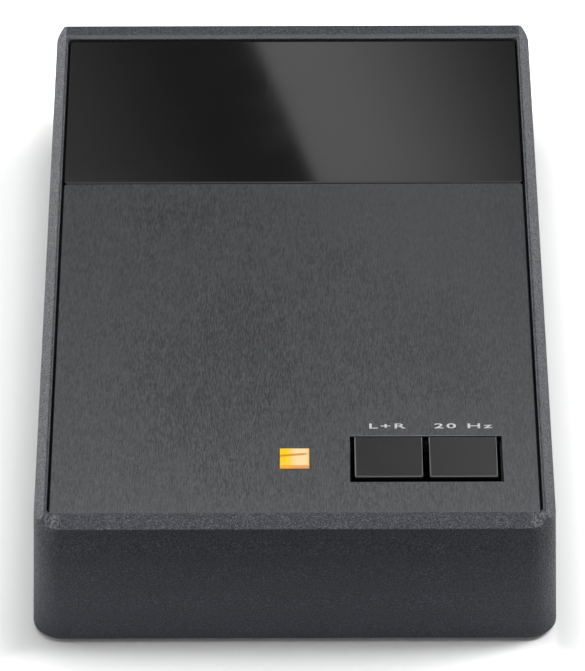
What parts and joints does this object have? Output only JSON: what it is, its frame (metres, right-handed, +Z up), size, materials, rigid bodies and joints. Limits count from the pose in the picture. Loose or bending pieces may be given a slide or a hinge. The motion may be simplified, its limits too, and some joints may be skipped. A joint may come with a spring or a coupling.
{
  "type": "phono preamplifier",
  "caption": "Low rectangular die-cast tabletop phono preamplifier with a brushed top plate, gloss window, pilot lamp, push buttons and rear sockets.",
  "frame": {"origin": "on the table, under the middle of the whole part with its rear sockets", "axes": "+X to the right seen from the front, +Y to the rear panel, +Z up"},
  "size_m": [0.1016, 0.1624, 0.0313],
  "materials": {
    "case_powder_coat": "fine sand-textured charcoal powder coat",
    "black_brushed_aluminium": "fine front-to-back brushing, black anodised",
    "gloss_black_acrylic": "polished",
    "adhesive_film": "matt",
    "amber_lens": "clear amber, lit",
    "lamp_body": "diffused amber",
    "black_moulding": "fine matt",
    "white_moulding": "smooth",
    "red_moulding": "smooth",
    "gloss_black_key": "polished",
    "switch_housing": "matt",
    "spring_steel": "drawn wire",
    "circuit_board": "solder mask",
    "zinc_screw": "zinc plated",
    "black_screw": "black oxide",
    "cover_paint": "fine-textured black paint",
    "foot_rubber": "matt",
    "gold_plate": "gold plated",
    "nickel_plate": "nickel plated",
    "brass_post": "threaded",
    "dip_housing": "smooth",
    "chip_epoxy": "moulded",
    "capacitor_sleeve": "shrink sleeve",
    "film_capacitor_case": "smooth",
    "resistor_body": "lacquered",
    "black_heatsink": "black anodised"
  },
  "bodies": {
    "chassis": {"amplifier_chips": "chip_epoxy", "board_screws": "zinc_screw", "bottom_cover": "cover_paint", "case": "case_powder_coat", "cover_screws": "black_screw", "dc_jack_contact": "nickel_plate", "dc_jack_housing": "black_moulding", "dc_jack_pin": "nickel_plate", "electrolytic_capacitors": "capacitor_sleeve", "film_capacitors": "film_capacitor_case", "ground_nut": "nickel_plate", "ground_stud": "brass_post", "input_jack_housing": "black_moulding", "input_jack_shells": "gold_plate", "jack_contacts": "gold_plate", "jack_screws": "black_screw", "lamp_lens": "amber_lens", "led_spacer": "black_moulding", "left_dip_switch": "dip_housing", "left_jack_insulators": "white_moulding", "left_switch_body": "switch_housing", "left_switch_spring": "spring_steel", "main_board": "circuit_board", "output_jack_housing": "black_moulding", "output_jack_shells": "gold_plate", "plate_adhesive": "adhesive_film", "regulator": "chip_epoxy", "regulator_heatsink": "black_heatsink", "resistors": "resistor_body", "right_dip_switch": "dip_housing", "right_jack_insulators": "red_moulding", "right_switch_body": "switch_housing", "right_switch_spring": "spring_steel", "rubber_feet": "foot_rubber", "status_led": "lamp_body", "top_plate": "black_brushed_aluminium", "window_adhesive": "adhesive_film", "window_panel": "gloss_black_acrylic"},
    "left_button": {"left_button_cap": "gloss_black_key", "left_switch_plunger": "white_moulding"},
    "right_button": {"right_button_cap": "gloss_black_key", "right_switch_plunger": "white_moulding"},
    "ground_washer": {"ground_washer": "nickel_plate"},
    "ground_knob": {"ground_knob": "gold_plate"},
    "left_dip_lever_1": {"left_dip_lever_1": "white_moulding"},
    "left_dip_lever_2": {"left_dip_lever_2": "white_moulding"},
    "left_dip_lever_3": {"left_dip_lever_3": "white_moulding"},
    "left_dip_lever_4": {"left_dip_lever_4": "white_moulding"},
    "right_dip_lever_1": {"right_dip_lever_1": "white_moulding"},
    "right_dip_lever_2": {"right_dip_lever_2": "white_moulding"},
    "right_dip_lever_3": {"right_dip_lever_3": "white_moulding"},
    "right_dip_lever_4": {"right_dip_lever_4": "white_moulding"}
  },
  "joints": [
    {"name": "left_button_press", "type": "slide", "parent": "chassis", "child": "left_button", "axis": [0, 0, -1], "range_m": [0, 0.0025], "stiffness_N_per_m": 700, "springref_m": -0.002, "deforming": ["left_switch_spring"]},
    {"name": "right_button_press", "type": "slide", "parent": "chassis", "child": "right_button", "axis": [0, 0, -1], "range_m": [0, 0.0025], "stiffness_N_per_m": 700, "springref_m": -0.002, "deforming": ["right_switch_spring"]},
    {"name": "ground_washer_travel", "type": "slide", "parent": "chassis", "child": "ground_washer", "axis": [0, 1, 0], "range_m": [0, 0.0028]},
    {"name": "ground_knob_turn", "type": "hinge", "parent": "ground_washer", "child": "ground_knob", "pos_m": [-0.00636, 0.07225, 0.0145], "axis": [0, 1, 0], "range_deg": [0, 1440]},
    {"name": "left_dip_1", "type": "slide", "parent": "chassis", "child": "left_dip_lever_1", "axis": [0, 1, 0], "range_m": [0, 0.002]},
    {"name": "left_dip_2", "type": "slide", "parent": "chassis", "child": "left_dip_lever_2", "axis": [0, 1, 0], "range_m": [0, 0.002]},
    {"name": "left_dip_3", "type": "slide", "parent": "chassis", "child": "left_dip_lever_3", "axis": [0, 1, 0], "range_m": [0, 0.002]},
    {"name": "left_dip_4", "type": "slide", "parent": "chassis", "child": "left_dip_lever_4", "axis": [0, 1, 0], "range_m": [0, 0.002]},
    {"name": "right_dip_1", "type": "slide", "parent": "chassis", "child": "right_dip_lever_1", "axis": [0, 1, 0], "range_m": [0, 0.002]},
    {"name": "right_dip_2", "type": "slide", "parent": "chassis", "child": "right_dip_lever_2", "axis": [0, 1, 0], "range_m": [0, 0.002]},
    {"name": "right_dip_3", "type": "slide", "parent": "chassis", "child": "right_dip_lever_3", "axis": [0, 1, 0], "range_m": [0, 0.002]},
    {"name": "right_dip_4", "type": "slide", "parent": "chassis", "child": "right_dip_lever_4", "axis": [0, 1, 0], "range_m": [0, 0.002]}
  ],
  "couplings": [
    {"joint": "ground_knob_turn", "follows": "ground_washer_travel", "rad_per_m": 8976}
  ]
}
